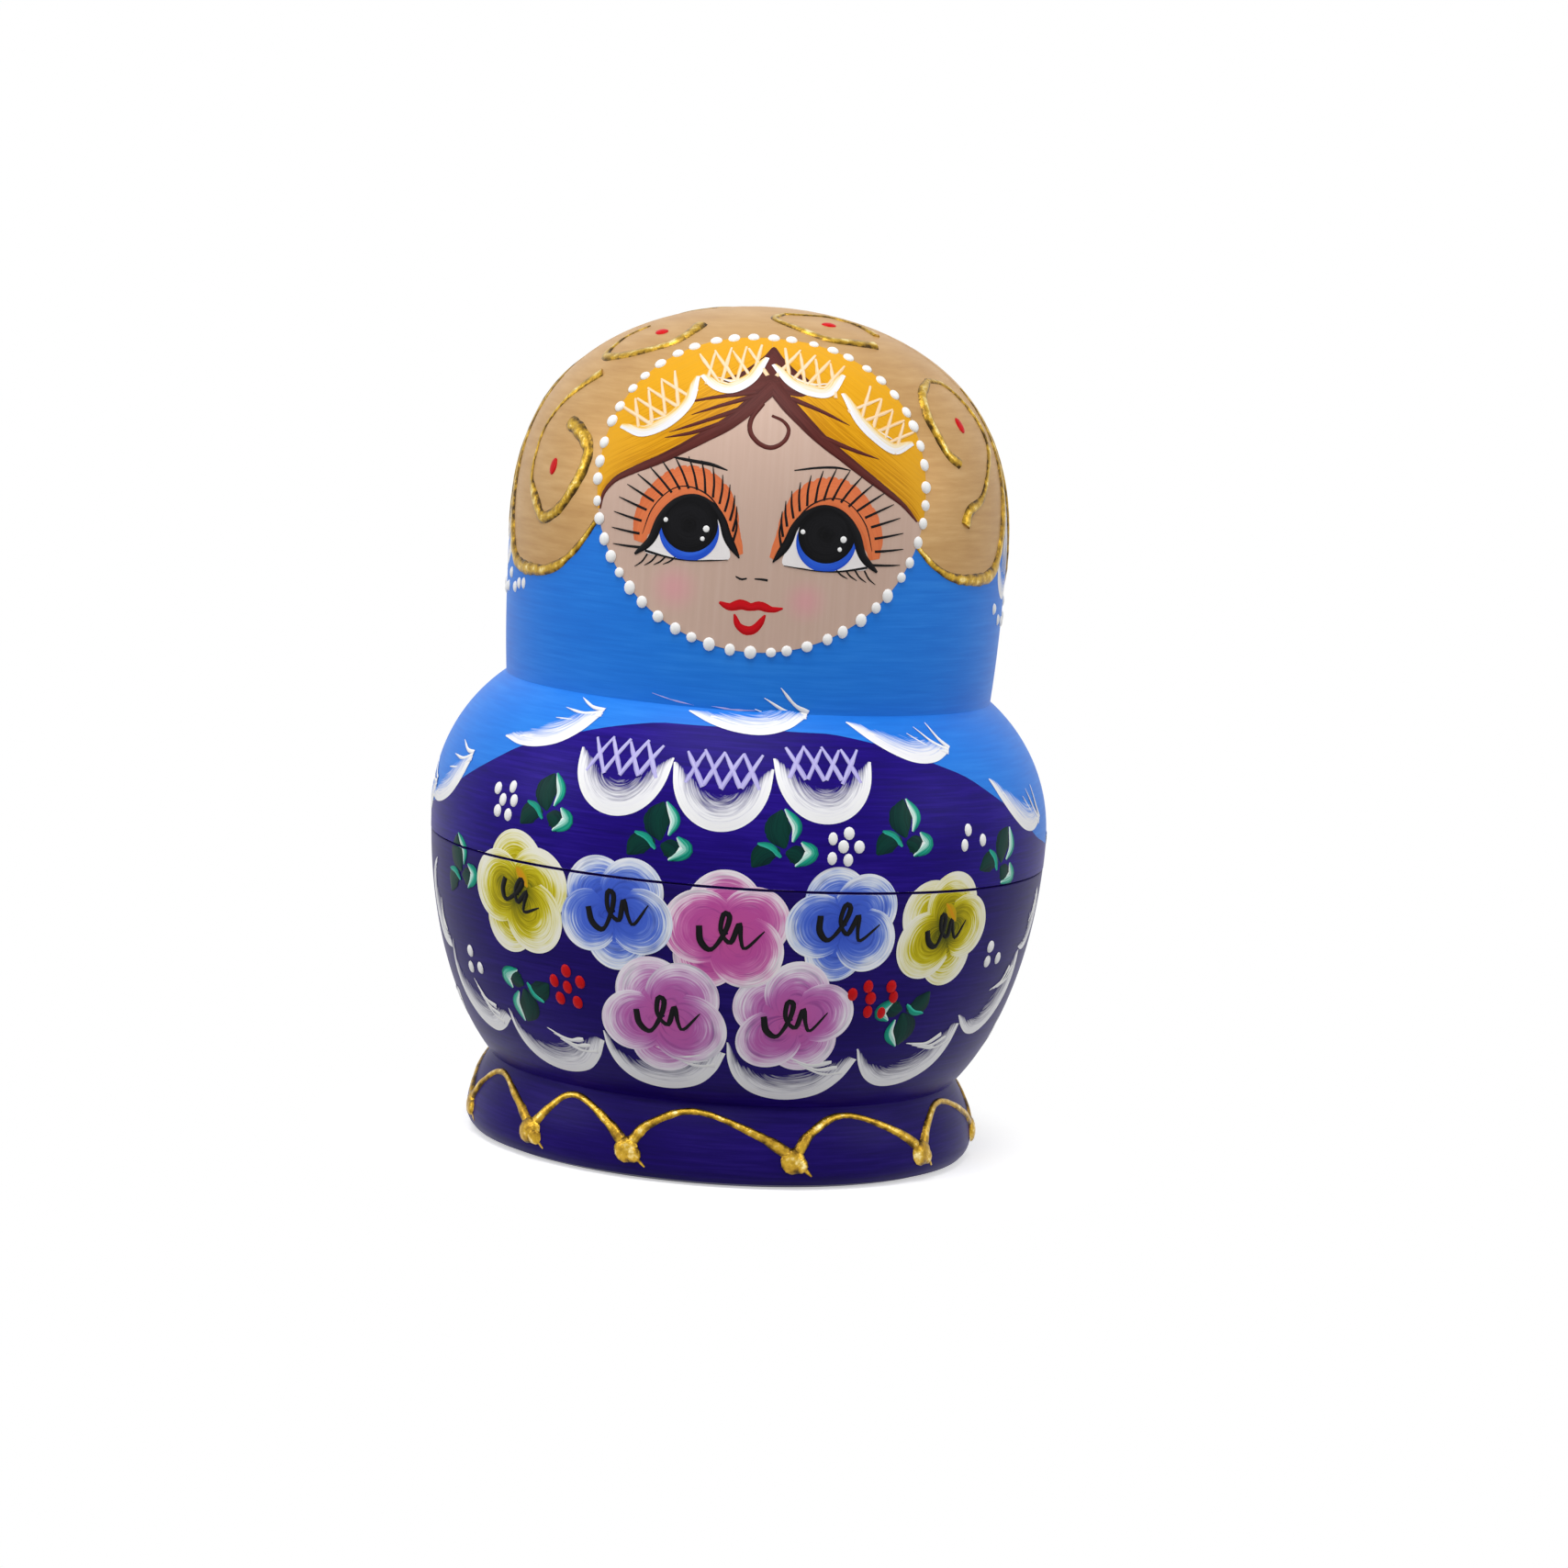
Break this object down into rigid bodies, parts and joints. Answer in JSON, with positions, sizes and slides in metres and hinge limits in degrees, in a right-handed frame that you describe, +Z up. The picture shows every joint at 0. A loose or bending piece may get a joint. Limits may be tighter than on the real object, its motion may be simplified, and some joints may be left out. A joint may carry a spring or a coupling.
{
  "type": "nesting doll set",
  "caption": "Turned wooden nesting dolls with painted shawl, scarf, flowers and face. Each hollow doll opens at the belly and holds the next smaller one.",
  "frame": {"origin": "centre of the largest doll's flat underside", "axes": "+Z up along the common turning axis, faces look along -Y"},
  "size_m": [0.103, 0.103, 0.14],
  "materials": {
    "dress_paint": "lime wood, violet paint under gloss varnish, bare inside",
    "shawl_paint": "lime wood, azure and gold paint under gloss varnish, bare inside",
    "core_paint": "solid lime wood, painted and varnished"
  },
  "bodies": {
    "doll_1_lower": {"doll_1_lower": "dress_paint"},
    "doll_1_upper": {"doll_1_upper": "shawl_paint"},
    "doll_2_lower": {"doll_2_lower": "dress_paint"},
    "doll_2_upper": {"doll_2_upper": "shawl_paint"},
    "doll_3_lower": {"doll_3_lower": "dress_paint"},
    "doll_3_upper": {"doll_3_upper": "shawl_paint"},
    "doll_4_lower": {"doll_4_lower": "dress_paint"},
    "doll_4_upper": {"doll_4_upper": "shawl_paint"},
    "doll_5_lower": {"doll_5_lower": "dress_paint"},
    "doll_5_upper": {"doll_5_upper": "shawl_paint"},
    "doll_6_lower": {"doll_6_lower": "dress_paint"},
    "doll_6_upper": {"doll_6_upper": "shawl_paint"},
    "doll_7_lower": {"doll_7_lower": "dress_paint"},
    "doll_7_upper": {"doll_7_upper": "shawl_paint"},
    "doll_8_lower": {"doll_8_lower": "dress_paint"},
    "doll_8_upper": {"doll_8_upper": "shawl_paint"},
    "doll_9_lower": {"doll_9_lower": "dress_paint"},
    "doll_9_upper": {"doll_9_upper": "shawl_paint"},
    "doll_10_core": {"doll_10_core": "core_paint"}
  },
  "joints": [
    {"name": "doll_2_out", "type": "slide", "parent": "doll_1_lower", "child": "doll_2_lower", "axis": [0, 0, 1], "range_m": [0, 0.048]},
    {"name": "doll_3_out", "type": "slide", "parent": "doll_2_lower", "child": "doll_3_lower", "axis": [0, 0, 1], "range_m": [0, 0.0406]},
    {"name": "doll_4_out", "type": "slide", "parent": "doll_3_lower", "child": "doll_4_lower", "axis": [0, 0, 1], "range_m": [0, 0.0344]},
    {"name": "doll_5_out", "type": "slide", "parent": "doll_4_lower", "child": "doll_5_lower", "axis": [0, 0, 1], "range_m": [0, 0.0293]},
    {"name": "doll_6_out", "type": "slide", "parent": "doll_5_lower", "child": "doll_6_lower", "axis": [0, 0, 1], "range_m": [0, 0.025]},
    {"name": "doll_7_out", "type": "slide", "parent": "doll_6_lower", "child": "doll_7_lower", "axis": [0, 0, 1], "range_m": [0, 0.0215]},
    {"name": "doll_8_out", "type": "slide", "parent": "doll_7_lower", "child": "doll_8_lower", "axis": [0, 0, 1], "range_m": [0, 0.0185]},
    {"name": "doll_9_out", "type": "slide", "parent": "doll_8_lower", "child": "doll_9_lower", "axis": [0, 0, 1], "range_m": [0, 0.0161]},
    {"name": "doll_10_out", "type": "slide", "parent": "doll_9_lower", "child": "doll_10_core", "axis": [0, 0, 1], "range_m": [0, 0.014]},
    {"name": "doll_9_open", "type": "slide", "parent": "doll_10_core", "child": "doll_9_upper", "axis": [0, 0, 1], "range_m": [0, 0.0224]},
    {"name": "doll_8_open", "type": "slide", "parent": "doll_9_upper", "child": "doll_8_upper", "axis": [0, 0, 1], "range_m": [0, 0.0261]},
    {"name": "doll_7_open", "type": "slide", "parent": "doll_8_upper", "child": "doll_7_upper", "axis": [0, 0, 1], "range_m": [0, 0.0306]},
    {"name": "doll_6_open", "type": "slide", "parent": "doll_7_upper", "child": "doll_6_upper", "axis": [0, 0, 1], "range_m": [0, 0.0359]},
    {"name": "doll_5_open", "type": "slide", "parent": "doll_6_upper", "child": "doll_5_upper", "axis": [0, 0, 1], "range_m": [0, 0.0424]},
    {"name": "doll_4_open", "type": "slide", "parent": "doll_5_upper", "child": "doll_4_upper", "axis": [0, 0, 1], "range_m": [0, 0.0502]},
    {"name": "doll_3_open", "type": "slide", "parent": "doll_4_upper", "child": "doll_3_upper", "axis": [0, 0, 1], "range_m": [0, 0.0596]},
    {"name": "doll_2_open", "type": "slide", "parent": "doll_3_upper", "child": "doll_2_upper", "axis": [0, 0, 1], "range_m": [0, 0.0708]},
    {"name": "doll_1_open", "type": "slide", "parent": "doll_2_upper", "child": "doll_1_upper", "axis": [0, 0, 1], "range_m": [0, 0.0844]}
  ]
}
